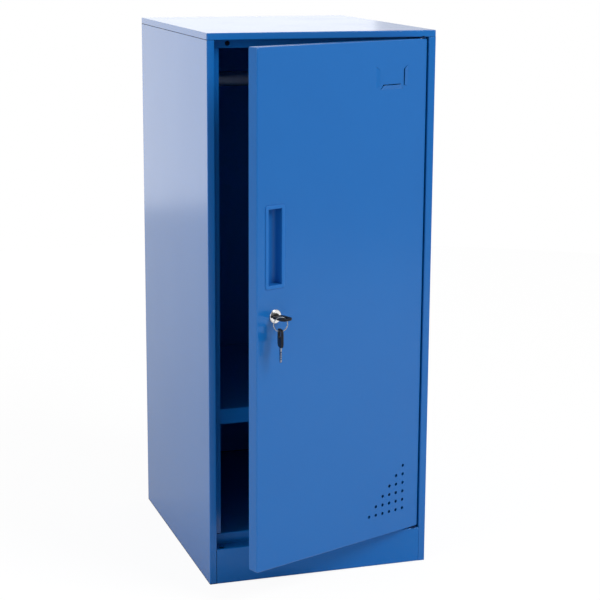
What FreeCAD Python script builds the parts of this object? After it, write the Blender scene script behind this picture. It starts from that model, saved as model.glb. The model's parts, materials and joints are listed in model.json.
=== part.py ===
import FreeCAD, Part
import os
import re
import Sketcher

# Single-door locker of folded sheet steel: a bolted carcass with a shelf on slotted strips and a
# hanging rail, a box-folded door on two pivot pins, and a cam lock with its key, a ring and a
# spare key. Millimetres and degrees. X points right, Y to the back and Z up. The origin is on the
# floor, at the middle of the front.

Vector = FreeCAD.Vector
Rotation = FreeCAD.Rotation
Placement = FreeCAD.Placement

SIZES = {
    # Carcass
    "width": 380, "depth": 450, "height": 900,
    "gauge": 0.7, "bend_radius": 0.8, "corner_radius": 1.6, "edge_round": 0.6, "sheet_gap": 0.3,
    "cap_height": 10.5, "cap_lip": 13,
    "stile": 12, "rebate": 23, "stop_side": 13, "stop_top": 14, "flange": 15,
    "plinth_height": 60, "plinth_foot": 20,
    "floor_rise": 19, "floor_skirt": 14, "floor_notch": 17,
    # Bolts that hold the cap and the back
    "bolt_diameter": 5, "bolt_length": 9, "bolt_head": 9.5, "bolt_head_height": 3,
    "bolt_nut": 8, "bolt_nut_height": 4, "bolt_clearance": 0.1,
    "cap_bolt_margin": 70, "back_bolt_margin": 100,
    # Shelf, its strips and clips
    "strip_depth": 6, "strip_width": 18, "strip_front": 27, "strip_back": 27, "strip_top_gap": 40,
    "slot_first": 114, "slot_pitch": 20, "slot_width": 8, "slot_height": 3,
    "clip_gauge": 1.2, "clip_rise": 12, "clip_drop": 10, "clip_tab": 13, "clip_width": 12,
    "tongue_height": 2, "tongue_width": 7, "hook_drop": 4,
    "shelf_skirt": 25, "shelf_lip": 10, "shelf_side_gap": 0.8, "shelf_front_gap": 2.3,
    "shelf_back_gap": 10,
    # Hanging rail and its sockets
    "rail_diameter": 25, "rail_wall": 1, "rail_drop": 80.5, "rail_setback": 225,
    "socket_flange": 44, "socket_flange_height": 2, "socket_wall": 2, "socket_length": 14,
    "rail_clearance": 0.1,
    # Door buffers
    "buffer_inset": 27, "buffer_head": 6, "buffer_proud": 2.6, "buffer_stem": 3.6, "buffer_tail": 5,
    "buffer_tail_height": 1.6,
    # Door
    "door_gap": 3, "door_thick": 20, "door_round": 2.2, "door_corner": 3, "door_hem": 14,
    "pivot_inset": 10, "pivot_setback": 6, "ajar": 22,
    "stiffener_offset": 170, "stiffener_width": 40, "stiffener_foot": 12, "stiffener_depth": 15,
    "stiffener_margin": 30,
    # Pivot pins, their bushes and brackets
    "pin_diameter": 6, "pin_reach": 8, "pin_head": 10, "pin_head_height": 3, "pin_clearance": 0.05,
    "pivot_hole": 8.6, "bush_clearance": 0.05, "bush_flange": 14, "bush_flange_height": 2.5,
    "bush_depth": 4, "bracket_gauge": 2, "bracket_length": 36, "bracket_rise": 12,
    # Card holder of three lanced flaps
    "card_edge": 43, "card_width": 53, "card_drop": 70, "flap_length": 7, "flap_angle": 12,
    "flap_slit": 1, "flap_taper": 6, "flap_heel": 2, "side_flap_height": 33, "side_flap_rise": -3,
    "bottom_flap_width": 49,
    # Vents
    "vent_diameter": 5.5, "vent_pitch": 15, "vent_edge": 29.5, "vent_rise": 39.5,
    # Recessed handle
    "latch_inset": 35, "handle_rise": 108, "handle_width": 26, "handle_length": 118,
    "handle_depth": 17, "handle_wall": 1.5, "handle_rim": 6, "handle_proud": 1.6, "handle_gap": 0.2,
    "handle_round_edge": 5, "handle_round_hinge": 6, "handle_round_ends": 4, "handle_soft_edge": 1.2,
    # Cam lock
    "lock_height": 475, "lock_diameter": 18, "lock_length": 25, "lock_gap": 0.2,
    "bezel_diameter": 22, "bezel_height": 3, "bezel_round": 1.2,
    "lock_nut_across": 24, "lock_nut_height": 4,
    "plug_diameter": 11, "plug_clearance": 0.05, "plug_proud": 0.2, "plug_tang": 6, "tang_gap": 0.05,
    "cam_gauge": 2, "cam_length": 35, "cam_width": 16, "cam_round": 5,
    "washer_diameter": 11, "washer_height": 1, "cam_screw": 4, "cam_screw_head": 8,
    "cam_screw_head_height": 2.6, "cam_screw_length": 7,
    # Keys and their ring
    "blade_width": 7, "blade_gauge": 2, "blade_length": 24, "blade_root": 8, "blade_tip": 2.5,
    "blade_cut": 1.5, "blade_cut_pitch": 3.6, "blade_cut_first": 6, "keyway_gap": 0.1, "key_gap": 1,
    "bow_length": 29, "bow_width": 20, "bow_gauge": 4, "bow_round": 6, "bow_soft_edge": 0.8,
    "bow_rim": 3, "bow_hole_width": 12, "bow_hole_length": 12, "bow_hole_round": 3,
    "ring_radius": 11.2, "ring_wire": 1.6, "ring_gap": 0.3,
}
BACK_BOLTS = 3
SLOTS_BELOW_SHELF = 7
VENT_COLUMNS = 6
BLADE_CUTS = 4
NEAR = 1e-4

# Places that several pieces share, as formulas of the sizes
SIDE_TOP = "(height - cap_height)"
FLOOR_TOP = "(plinth_height + floor_rise)"
WALL_IN = "(width/2 - gauge)"
RETURN_WALL = "(width/2 - stile)"
BACK_IN = "(depth - 2*gauge)"
STOP_BACK = "(rebate + gauge)"
PIVOT_X = "(width/2 - stile - pivot_inset)"
BUFFER_X = "(width/2 - stile - buffer_inset)"
BUFFER_Z = "(height - cap_height - stop_top/2)"
BOLT_X = "(width/2 - flange/2)"
BOLT_HOLE = "(bolt_diameter + 2*bolt_clearance)"
STRIP_FACE = "(width/2 - gauge - strip_depth)"
STRIP_REAR = "(depth - strip_back - strip_width)"
CLIP_Z = "(slot_first + %d*slot_pitch)" % SLOTS_BELOW_SHELF
SHELF_BOTTOM = "(%s + clip_rise)" % CLIP_Z
RAIL_PLACE = ("rail_setback", "(height - cap_height - rail_drop)")
DOOR_EDGE = "(pivot_inset - door_gap)"
DOOR_FREE = "(pivot_inset + door_gap + 2*stile - width)"
DOOR_LOW = "(plinth_height + door_gap)"
DOOR_HIGH = "(height - cap_height - door_gap)"
DOOR_FRONT = "(-pivot_setback)"
DOOR_INSIDE = "(gauge - pivot_setback)"
DOOR_BACK = "(door_thick - pivot_setback)"
CARD_BOTTOM = "(%s - card_drop)" % DOOR_HIGH
VENT_BOTTOM = "(%s + vent_rise)" % DOOR_LOW
LATCH_LINE = "(%s + latch_inset)" % DOOR_FREE
HANDLE_Z = "(lock_height + handle_rise)"
LOCK_PLACE = (LATCH_LINE, "lock_height")
LOCK_BACK = "(lock_length - pivot_setback)"
KEY_ROOT = "(-pivot_setback - bezel_height - key_gap)"
PIN_HOLE = "(pin_diameter + 2*pin_clearance)"
RING_ALONG = "(bow_rim + bow_hole_length/2 - bow_length)"
RING_ASIDE = "((bow_width + bow_hole_width)/4)"
RIM_WIDTH = "((bow_width - bow_hole_width)/2/cos(ajar))"
RIM_REACH = "(sqrt(%s^2 + bow_gauge^2)/2 - bow_soft_edge*(sqrt(2) - 1))" % RIM_WIDTH
RING_DROP = "(ring_radius - ring_wire/2 - ring_gap - %s)" % RIM_REACH

CELLS = {name: "sizes." + name for name in SIZES}

doc = FreeCAD.newDocument("locker")
sheet = doc.addObject("Spreadsheet::Sheet", "sizes")
for row, (size_name, size_value) in enumerate(SIZES.items(), 1):
    sheet.set("A%d" % row, size_name)
    sheet.set("B%d" % row, str(size_value))
    sheet.setAlias("B%d" % row, size_name)
doc.recompute()


# Formulas


def formula(text):
    """The text with each size name turned into a reference to its cell."""
    return re.sub(r"[a-z]\w*", lambda word: CELLS.get(word.group(), word.group()), text)


def number(text):
    return float(sheet.evalExpression(formula(text)))


def bind(item, path, text):
    item.setExpression(path, formula(text))


# Sketches: outlines are given as formulas in the two directions of the plane


def new_body(label):
    return doc.addObject("PartDesign::Body", label)


def sketch_on(body, plane, place):
    """A sketch across one axis of the body, at a place along that axis."""
    sketch = body.newObject("Sketcher::SketchObject", body.Name + "_outline")
    support = [item for item in body.Origin.OriginFeatures if item.Role == plane + "_Plane"]
    sketch.AttachmentSupport = [(support[0], "")]
    sketch.MapMode = "FlatFace"
    bind(sketch, "AttachmentOffset.Base.z", "-(%s)" % place if plane == "XZ" else place)
    return sketch


def fix_point(sketch, index, end, place):
    for kind, text in zip(("DistanceX", "DistanceY"), place):
        added = sketch.addConstraint(Sketcher.Constraint(kind, -1, 1, index, end, number(text)))
        sketch.setExpression("Constraints[%d]" % added, formula(text))


def polygon(sketch, corners):
    points = [Vector(number(across), number(up), 0) for across, up in corners]
    first = sketch.GeometryCount
    count = len(points)
    for k in range(count):
        sketch.addGeometry(Part.LineSegment(points[k], points[(k + 1) % count]))
    for k in range(count):
        sketch.addConstraint(Sketcher.Constraint("Coincident", first + k, 2, first + (k + 1) % count, 1))
    for k, corner in enumerate(corners):
        fix_point(sketch, first + k, 1, corner)


def rectangle(sketch, left, right, low, high):
    polygon(sketch, [(left, low), (right, low), (right, high), (left, high)])


def framed(sketch, place, half_width, half_height):
    """A rectangle about a middle point. Returns its corners."""
    across, up = place
    left, right = "%s - %s" % (across, half_width), "%s + %s" % (across, half_width)
    low, high = "%s - %s" % (up, half_height), "%s + %s" % (up, half_height)
    rectangle(sketch, left, right, low, high)
    return [(left, low), (right, low), (right, high), (left, high)]


def circle(sketch, place, diameter):
    middle = Vector(number(place[0]), number(place[1]), 0)
    index = sketch.addGeometry(Part.Circle(middle, Vector(0, 0, 1), number(diameter) / 2))
    fix_point(sketch, index, 3, place)
    added = sketch.addConstraint(Sketcher.Constraint("Diameter", index, number(diameter)))
    sketch.setExpression("Constraints[%d]" % added, formula(diameter))


def hexagon(sketch, place, across_flats):
    """A hexagon with a corner to each side, its flats above and below."""
    across, up = place
    half = "(%s)/2" % across_flats
    quarter = "(%s)/2/sqrt(3)" % across_flats
    polygon(sketch, [
        ("%s - 2*%s" % (across, quarter), up),
        ("%s - %s" % (across, quarter), "%s - %s" % (up, half)),
        ("%s + %s" % (across, quarter), "%s - %s" % (up, half)),
        ("%s + 2*%s" % (across, quarter), up),
        ("%s + %s" % (across, quarter), "%s + %s" % (up, half)),
        ("%s - %s" % (across, quarter), "%s + %s" % (up, half)),
    ])


# Features


def add_feature(body, kind):
    feature = body.newObject("PartDesign::" + kind, body.Name + "_" + kind.lower())
    body.Tip = feature
    return feature


def faces_back(sketch):
    return sketch.AttachmentSupport[0][0].Role == "XZ_Plane"


def pad(body, sketch, length):
    """Metal from the sketch along the positive axis."""
    feature = add_feature(body, "Pad")
    feature.Profile = sketch
    feature.Reversed = faces_back(sketch)
    bind(feature, "Length", length)
    doc.recompute()
    return feature


def cut(body, sketch, length):
    """An opening from the sketch along the positive axis."""
    before = body.Tip.Shape.Volume
    feature = add_feature(body, "Pocket")
    feature.Profile = sketch
    feature.Reversed = not faces_back(sketch)
    bind(feature, "Length", length)
    doc.recompute()
    if not feature.Shape.Volume < before:
        raise RuntimeError("nothing was cut from " + body.Label)
    return feature


def pad_circle(body, plane, place, low, length, diameter):
    sketch = sketch_on(body, plane, low)
    circle(sketch, place, diameter)
    return pad(body, sketch, length)


def cut_circles(body, plane, places, low, length, diameter):
    sketch = sketch_on(body, plane, low)
    for place in places:
        circle(sketch, place, diameter)
    return cut(body, sketch, length)


def along(axis, *places):
    """Chooses the edges that run along an axis through the given places across it."""
    across = [k for k in range(3) if k != "XYZ".index(axis)]
    targets = [[number(text) for text in place] for place in places]

    def chosen(edge):
        ends = [vertex.Point for vertex in edge.Vertexes]
        if len(ends) < 2:
            return False
        return any(
            all(abs(end[k] - spot) < NEAR for end in ends for k, spot in zip(across, target))
            for target in targets)

    return chosen


def in_plane(axis, text):
    """Chooses the edges that lie at one place along an axis."""
    k = "XYZ".index(axis)
    spot = number(text)

    def chosen(edge):
        box = edge.BoundBox
        low, high = ((box.XMin, box.XMax), (box.YMin, box.YMax), (box.ZMin, box.ZMax))[k]
        return abs(low - spot) < NEAR and abs(high - spot) < NEAR

    return chosen


def fillet(body, radius, *choices):
    base = body.Tip
    names = []
    for k, edge in enumerate(base.Shape.Edges, 1):
        if any(chosen(edge) for chosen in choices):
            names.append("Edge%d" % k)
    feature = add_feature(body, "Fillet")
    feature.Base = (base, names)
    bind(feature, "Radius", radius)
    doc.recompute()
    return feature


def shell(body, open_face, wall):
    """Hollows the body from one flat side, given as an axis and a place along it."""
    base = body.Tip
    chosen = in_plane(*open_face)
    names = ["Face%d" % k for k, face in enumerate(base.Shape.Faces, 1) if chosen(face)]
    feature = add_feature(body, "Thickness")
    feature.Base = (base, names)
    feature.Reversed = True
    bind(feature, "Value", wall)
    doc.recompute()
    return feature


def folded(label, plane, low, length, path, thick="gauge"):
    """A folded strip: one face follows the path, and the metal is to the left of it."""
    spots = [(number(across), number(up)) for across, up in path]
    headings = []
    for (a, b), (c, d) in zip(spots, spots[1:]):
        run = abs(c - a) + abs(d - b)
        headings.append((round((c - a) / run), round((d - b) / run)))
    far_side = []
    outer = []
    inner = []
    for k, (across, up) in enumerate(path):
        near = headings[max(k - 1, 0):k + 1]
        shift_across = sum(-rise for run, rise in near)
        shift_up = sum(run for run, rise in near)
        far = ("%s %+d*%s" % (across, shift_across, thick), "%s %+d*%s" % (up, shift_up, thick))
        far_side.append(far)
        if len(near) == 2:
            turns_left = near[0][0] * near[1][1] - near[0][1] * near[1][0] > 0
            outer.append((across, up) if turns_left else far)
            inner.append(far if turns_left else (across, up))
    body = new_body(label)
    sketch = sketch_on(body, plane, low)
    polygon(sketch, path + far_side[::-1])
    pad(body, sketch, length)
    axis = {"XY": "Z", "XZ": "Y", "YZ": "X"}[plane]
    fillet(body, "bend_radius + " + thick, along(axis, *outer))
    fillet(body, "bend_radius", along(axis, *inner))
    return body


def tray(label, outline, low, high):
    """A pressed tray with its flat side up and its rim folded down."""
    body = new_body(label)
    sketch = sketch_on(body, "XY", low)
    polygon(sketch, outline)
    pad(body, sketch, "(%s) - (%s)" % (high, low))
    fillet(body, "corner_radius + gauge", along("Z", *outline))
    fillet(body, "bend_radius + gauge", in_plane("Z", high))
    shell(body, ("Z", low), "gauge")
    return body


def lips(body, plane, low, outer, inner, notch="corner_radius"):
    """Lips folded inwards from a tray's rim, notched at the corners of the rim."""
    left, right, bottom, top = outer
    sketch = sketch_on(body, plane, low)
    polygon(sketch, [
        ("%s + %s" % (left, notch), bottom), ("%s - %s" % (right, notch), bottom),
        (right, "%s + %s" % (bottom, notch)), (right, "%s - %s" % (top, notch)),
        ("%s - %s" % (right, notch), top), ("%s + %s" % (left, notch), top),
        (left, "%s - %s" % (top, notch)), (left, "%s + %s" % (bottom, notch))])
    rectangle(sketch, *inner)
    return pad(body, sketch, "gauge")


def mirrored(label, source, axis, place="0"):
    item = doc.addObject("Part::Mirroring", label)
    item.Source = source
    item.Normal = Vector(*[1 if name == axis else 0 for name in "XYZ"])
    bind(item, "Base." + axis.lower(), place)
    doc.recompute()
    return item


def group(label, items):
    item = doc.addObject("Part::Compound", label)
    item.Links = items
    doc.recompute()
    return item


def hang_on_door(item):
    """Moves a piece from the door's own frame, with the pivot at its origin, to the open door."""
    item.Placement = Placement(Vector(0, 0, 0), Rotation(Vector(0, 0, 1), number("ajar")))
    bind(item, "Placement.Base.x", PIVOT_X)
    bind(item, "Placement.Base.y", "pivot_setback")
    bind(item, "Placement.Rotation.Angle", "ajar")
    doc.recompute()
    return item


def both_sides(x_text):
    return ["-" + x_text, x_text]


def back_bolt_heights():
    step = "(%s - 2*back_bolt_margin)/%d" % (SIDE_TOP, BACK_BOLTS - 1)
    return ["(back_bolt_margin + %d*%s)" % (k, step) for k in range(BACK_BOLTS)]


def cap_bolt_places():
    return ["cap_bolt_margin", "(depth - cap_bolt_margin)"]


# Carcass


def left_side_panel():
    """Side wall folded round into the front stile, the door's rebate and its stop."""
    body = folded("left_side_panel", "XY", "0", SIDE_TOP, [
        ("-width/2 + flange", "depth"),
        ("-width/2", "depth"),
        ("-width/2", "0"),
        ("-width/2 + stile", "0"),
        ("-width/2 + stile", "rebate"),
        ("-width/2 + stile + stop_side", "rebate"),
    ])
    fillet(body, "edge_round", along("Y", ("-width/2", SIDE_TOP)))
    for low in ("0", SIDE_TOP + " - gauge"):
        sketch = sketch_on(body, "XY", low)
        rectangle(sketch, "-" + WALL_IN, "-width/2 + flange", "rebate + flange", "depth - flange")
        pad(body, sketch, "gauge")
    notches = (
        ("0", FLOOR_TOP + " + sheet_gap"),
        (SIDE_TOP + " - stop_top - sheet_gap", "stop_top + sheet_gap"))
    for low, length in notches:
        sketch = sketch_on(body, "XY", low)
        rectangle(sketch, "-" + RETURN_WALL, "-%s + stop_side" % RETURN_WALL, "rebate - gauge",
                  "rebate + 2*gauge")
        cut(body, sketch, length)
    cut_circles(body, "XY", [("-" + BOLT_X, place) for place in cap_bolt_places()],
                SIDE_TOP + " - gauge", "gauge", BOLT_HOLE)
    cut_circles(body, "XZ", [("-" + BOLT_X, place) for place in back_bolt_heights()],
                "depth - gauge", "gauge", BOLT_HOLE)
    return body


def top_panel():
    """Cap with a folded skirt, lips that rest on the side walls, and the upper door stop."""
    half = "width/2"
    body = tray("top_panel", [("-" + half, "0"), (half, "0"), (half, "depth"), ("-" + half, "depth")],
                SIDE_TOP, "height")
    fillet(body, "edge_round", along("Y", ("-" + half, SIDE_TOP)), along("X", ("0", SIDE_TOP)))
    lips(body, "XY", SIDE_TOP, ("-" + WALL_IN, WALL_IN, "gauge", "depth - gauge"),
         ("-width/2 + cap_lip", "width/2 - cap_lip", STOP_BACK, "depth - cap_lip"))
    sketch = sketch_on(body, "XZ", "rebate")
    rectangle(sketch, "-%s + sheet_gap" % RETURN_WALL, "%s - sheet_gap" % RETURN_WALL,
              SIDE_TOP + " - stop_top", SIDE_TOP + " + gauge")
    pad(body, sketch, "gauge")
    cut_circles(body, "XY", [(x, "pivot_setback") for x in both_sides(PIVOT_X)],
                SIDE_TOP, "gauge", "pivot_hole")
    cut_circles(body, "XZ", [(x, BUFFER_Z) for x in both_sides(BUFFER_X)],
                "rebate", "gauge", "buffer_stem + 2*bolt_clearance")
    cut_circles(body, "XY", [(x, place) for x in both_sides(BOLT_X) for place in cap_bolt_places()],
                SIDE_TOP, "gauge", BOLT_HOLE)
    return body


def floor_panel():
    """Raised floor tray, notched at the front corners to pass between the stiles."""
    low = FLOOR_TOP + " - floor_skirt"
    neck = "(%s - sheet_gap)" % RETURN_WALL
    body = tray("floor_panel", [("-" + WALL_IN, "rebate"), (WALL_IN, "rebate"), (WALL_IN, BACK_IN),
                                ("-" + WALL_IN, BACK_IN)], low, FLOOR_TOP)
    sketch = sketch_on(body, "XY", low)
    for left, right in (("-" + WALL_IN, "-" + neck), (neck, WALL_IN)):
        rectangle(sketch, left, right, "rebate", "rebate + floor_notch")
    cut(body, sketch, "floor_skirt")
    return body


def plinth_panel():
    """Front plinth with a ledge under the door and an upstand that carries the floor."""
    upstand = STOP_BACK + " + bend_radius"
    body = folded("plinth_panel", "YZ", "-" + RETURN_WALL, "2*" + RETURN_WALL, [
        (upstand, FLOOR_TOP + " - gauge"),
        (upstand, "plinth_height"),
        ("0", "plinth_height"),
        ("0", "0"),
        ("plinth_foot", "0"),
    ])
    cut_circles(body, "XY", [(x, "pivot_setback") for x in both_sides(PIVOT_X)],
                "plinth_height - gauge", "gauge", "pivot_hole")
    return body


def back_panel():
    """Flat back against the rear flanges, clear of their bends."""
    body = new_body("back_panel")
    side = "(%s - bend_radius - sheet_gap)" % WALL_IN
    sketch = sketch_on(body, "XZ", BACK_IN)
    rectangle(sketch, "-" + side, side, "0", SIDE_TOP)
    for x in both_sides(BOLT_X):
        for height in back_bolt_heights():
            circle(sketch, (x, height), BOLT_HOLE)
    pad(body, sketch, "gauge")
    return body


def bolt(label, plane, place, head_low, shank_low):
    """Pan-head bolt, its head and shank each given by a low end along the bolt's axis."""
    body = new_body(label)
    pad_circle(body, plane, place, shank_low, "bolt_length", "bolt_diameter")
    pad_circle(body, plane, place, head_low, "bolt_head_height", "bolt_head")
    axis, top = ("Z", head_low) if plane == "XY" else ("Y", head_low + " + bolt_head_height")
    fillet(body, "bolt_head_height/2", in_plane(axis, top))
    return body


def hex_nut(label, plane, place, low, height, across_flats, bore):
    body = new_body(label)
    sketch = sketch_on(body, plane, low)
    hexagon(sketch, place, across_flats)
    circle(sketch, place, bore)
    pad(body, sketch, height)
    return body


def carcass_bolts():
    """Bolts and nuts that hold the cap on the side walls and the back in the rear flanges."""
    nut_sizes = ("bolt_nut_height", "bolt_nut", BOLT_HOLE)
    cap_under = SIDE_TOP + " - gauge"
    cap_places = [(x, place) for x in both_sides(BOLT_X) for place in cap_bolt_places()]
    back_places = [(x, height) for x in both_sides(BOLT_X) for height in back_bolt_heights()]
    groups = {"cap_bolts": [], "cap_nuts": [], "back_bolts": [], "back_nuts": []}
    for place in cap_places:
        groups["cap_bolts"].append(
            bolt("cap_bolt", "XY", place, cap_under + " - bolt_head_height", cap_under))
        groups["cap_nuts"].append(hex_nut("cap_nut", "XY", place, SIDE_TOP + " + gauge", *nut_sizes))
    for place in back_places:
        groups["back_bolts"].append(bolt("back_bolt", "XZ", place, "depth", "depth - bolt_length"))
        groups["back_nuts"].append(
            hex_nut("back_nut", "XZ", place, BACK_IN + " - bolt_nut_height", *nut_sizes))
    return [group(label, items) for label, items in groups.items()]


def shelf_strip(label, near):
    """Slotted channel on the left wall that the shelf clips hook into."""
    far = near + " + strip_width"
    length = "(%s - strip_top_gap - %s)" % (SIDE_TOP, FLOOR_TOP)
    body = folded(label, "XY", FLOOR_TOP, length, [
        ("-" + WALL_IN, near),
        ("-" + STRIP_FACE, near),
        ("-" + STRIP_FACE, far),
        ("-" + WALL_IN, far),
    ])
    sketch = sketch_on(body, "YZ", "-%s - gauge" % STRIP_FACE)
    middle = near + " + strip_width/2"
    rectangle(sketch, middle + " - slot_width/2", middle + " + slot_width/2",
              "slot_first - slot_height/2", "slot_first + slot_height/2")
    first_slot = cut(body, sketch, "gauge")
    slots = add_feature(body, "LinearPattern")
    slots.Originals = [first_slot]
    upward = [item for item in body.Origin.OriginFeatures if item.Role == "Z_Axis"]
    slots.Direction = (upward[0], [""])
    steps = "floor((%s - strip_top_gap - slot_first - slot_height)/slot_pitch)" % SIDE_TOP
    bind(slots, "Length", "slot_pitch*" + steps)
    bind(slots, "Occurrences", steps + " + 1")
    doc.recompute()
    return body


def shelf_clip(label, strip):
    """Bent clip on the left: a tab under the shelf and a hook through a slot."""
    middle = strip + " + strip_width/2"
    face = "-" + STRIP_FACE
    body = folded(label, "XZ", middle + " - clip_width/2", "clip_width", [
        (face + " + clip_tab", SHELF_BOTTOM),
        (face, SHELF_BOTTOM),
        (face, CLIP_Z + " - clip_drop"),
    ], "clip_gauge")
    sketch = sketch_on(body, "XZ", middle + " - tongue_width/2")
    inside = face + " - gauge - sheet_gap"
    polygon(sketch, [
        (face, CLIP_Z + " + tongue_height/2"),
        (inside + " - clip_gauge", CLIP_Z + " + tongue_height/2"),
        (inside + " - clip_gauge", CLIP_Z + " - hook_drop"),
        (inside, CLIP_Z + " - hook_drop"),
        (inside, CLIP_Z + " - tongue_height/2"),
        (face, CLIP_Z + " - tongue_height/2"),
    ])
    pad(body, sketch, "tongue_width")
    return body


def shelf():
    side = "(%s - shelf_side_gap)" % STRIP_FACE
    front = "(%s + shelf_front_gap)" % STOP_BACK
    back = "(depth - shelf_back_gap)"
    body = tray("shelf", [("-" + side, front), (side, front), (side, back), ("-" + side, back)],
                SHELF_BOTTOM, SHELF_BOTTOM + " + shelf_skirt")
    lips(body, "XY", SHELF_BOTTOM,
         ("-%s + gauge" % side, side + " - gauge", front + " + gauge", back + " - gauge"),
         ("-%s + shelf_lip" % side, side + " - shelf_lip", front + " + shelf_lip", back + " - shelf_lip"))
    return body


def hanging_rail():
    body = new_body("hanging_rail")
    end = "(%s - socket_flange_height - sheet_gap)" % WALL_IN
    sketch = sketch_on(body, "YZ", "-" + end)
    circle(sketch, RAIL_PLACE, "rail_diameter")
    circle(sketch, RAIL_PLACE, "rail_diameter - 2*rail_wall")
    pad(body, sketch, "2*" + end)
    return body


def rail_socket():
    """Round cup on the left wall that holds one end of the rail."""
    body = new_body("rail_socket_left")
    bore = "(rail_diameter + 2*rail_clearance)"
    pad_circle(body, "YZ", RAIL_PLACE, "-" + WALL_IN, "socket_flange_height", "socket_flange")
    fillet(body, "socket_flange_height/2", in_plane("X", "-%s + socket_flange_height" % WALL_IN))
    sketch = sketch_on(body, "YZ", "-%s + socket_flange_height" % WALL_IN)
    circle(sketch, RAIL_PLACE, bore + " + 2*socket_wall")
    circle(sketch, RAIL_PLACE, bore)
    pad(body, sketch, "socket_length - socket_flange_height")
    return body


def door_buffers():
    """Rubber studs in the upper stop that the shut door lands on."""
    studs = []
    for x in both_sides(BUFFER_X):
        body = new_body("door_buffer")
        place = (x, BUFFER_Z)
        pad_circle(body, "XZ", place, "rebate - buffer_proud", "buffer_proud", "buffer_head")
        fillet(body, "buffer_proud/2", in_plane("Y", "rebate - buffer_proud"))
        pad_circle(body, "XZ", place, "rebate", "gauge", "buffer_stem")
        pad_circle(body, "XZ", place, STOP_BACK, "buffer_tail_height", "buffer_tail")
        studs.append(body)
    return group("door_buffers", studs)


def hinge_bush(label, flange_low, barrel_low):
    body = new_body(label)
    place = (PIVOT_X, "pivot_setback")
    pad_circle(body, "XY", place, flange_low, "bush_flange_height", "bush_flange")
    pad_circle(body, "XY", place, barrel_low, "bush_depth", "pivot_hole - 2*bush_clearance")
    low = min((flange_low, barrel_low), key=number)
    cut_circles(body, "XY", [place], low, "bush_flange_height + bush_depth", PIN_HOLE)
    return body


# Door, in its own frame: the pivot is at the origin and the shut door lies along negative X


def lanced_flap(body, base, turn_axis, turn, outline):
    """A tapered flap of the door's own sheet, bent outwards about its fold."""
    sketch = body.newObject("Sketcher::SketchObject", body.Name + "_flap")
    support = [item for item in body.Origin.OriginFeatures if item.Role == "XZ_Plane"]
    sketch.AttachmentSupport = [(support[0], "")]
    sketch.MapMode = "FlatFace"
    sketch.AttachmentOffset = Placement(Vector(0, 0, 0), Rotation(turn_axis, number(turn)))
    for axis, text in zip("xyz", (base[0], base[1], "-" + DOOR_INSIDE)):
        bind(sketch, "AttachmentOffset.Base." + axis, text)
    bind(sketch, "AttachmentOffset.Rotation.Angle", turn)
    polygon(sketch, outline)
    feature = add_feature(body, "Pad")
    feature.Profile = sketch
    bind(feature, "Length", "gauge")
    doc.recompute()


def flap_outline(length, heel, toe, root, reach):
    """Corners of a tapered flap, each as a distance from the fold and a place along it."""
    behind = "-(%s)" % root
    return [(behind, "0"), (reach, heel), (reach, "%s - %s" % (length, toe)), (behind, length)]


def card_holder(body):
    """Three lanced flaps, with the openings they leave, round a bare field for a card."""
    side_low = "(%s + side_flap_rise)" % CARD_BOTTOM
    side_outline = ("side_flap_height", "flap_heel", "flap_taper")
    flaps = [
        (("(flap_length - card_edge)", side_low), side_outline, Vector(0, 1, 0), "flap_angle",
         lambda reach, place: ("-(%s)" % reach, place)),
        (("(-card_edge - card_width - flap_length)", side_low), side_outline, Vector(0, -1, 0),
         "flap_angle", lambda reach, place: (reach, place)),
        (("(-card_edge - card_width/2 - bottom_flap_width/2)", "(%s - flap_length)" % CARD_BOTTOM),
         ("bottom_flap_width", "flap_taper", "flap_taper"), Vector(-1, 0, 0), "-flap_angle",
         lambda reach, place: (place, reach)),
    ]
    openings = sketch_on(body, "XZ", DOOR_FRONT)
    for fold, outline, turn_axis, turn, facing in flaps:
        corners = [facing(*corner) for corner in flap_outline(*outline, "0", "(flap_length + flap_slit)")]
        polygon(openings, [("%s + %s" % (fold[0], across), "%s + %s" % (fold[1], up))
                           for across, up in corners])
    cut(body, openings, "gauge")
    for fold, outline, turn_axis, turn, facing in flaps:
        corners = [facing(*corner) for corner in flap_outline(*outline, "bend_radius", "flap_length")]
        lanced_flap(body, fold, turn_axis, turn, corners)


def vents(body):
    """Triangle of round vents: each column away from the hinge is one hole shorter."""
    places = []
    for column in range(VENT_COLUMNS):
        for row_up in range(VENT_COLUMNS - column):
            places.append(("-vent_edge - %d*vent_pitch" % column,
                           "%s + %d*vent_pitch" % (VENT_BOTTOM, row_up)))
    cut_circles(body, "XZ", places, DOOR_FRONT, "gauge", "vent_diameter")


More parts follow.
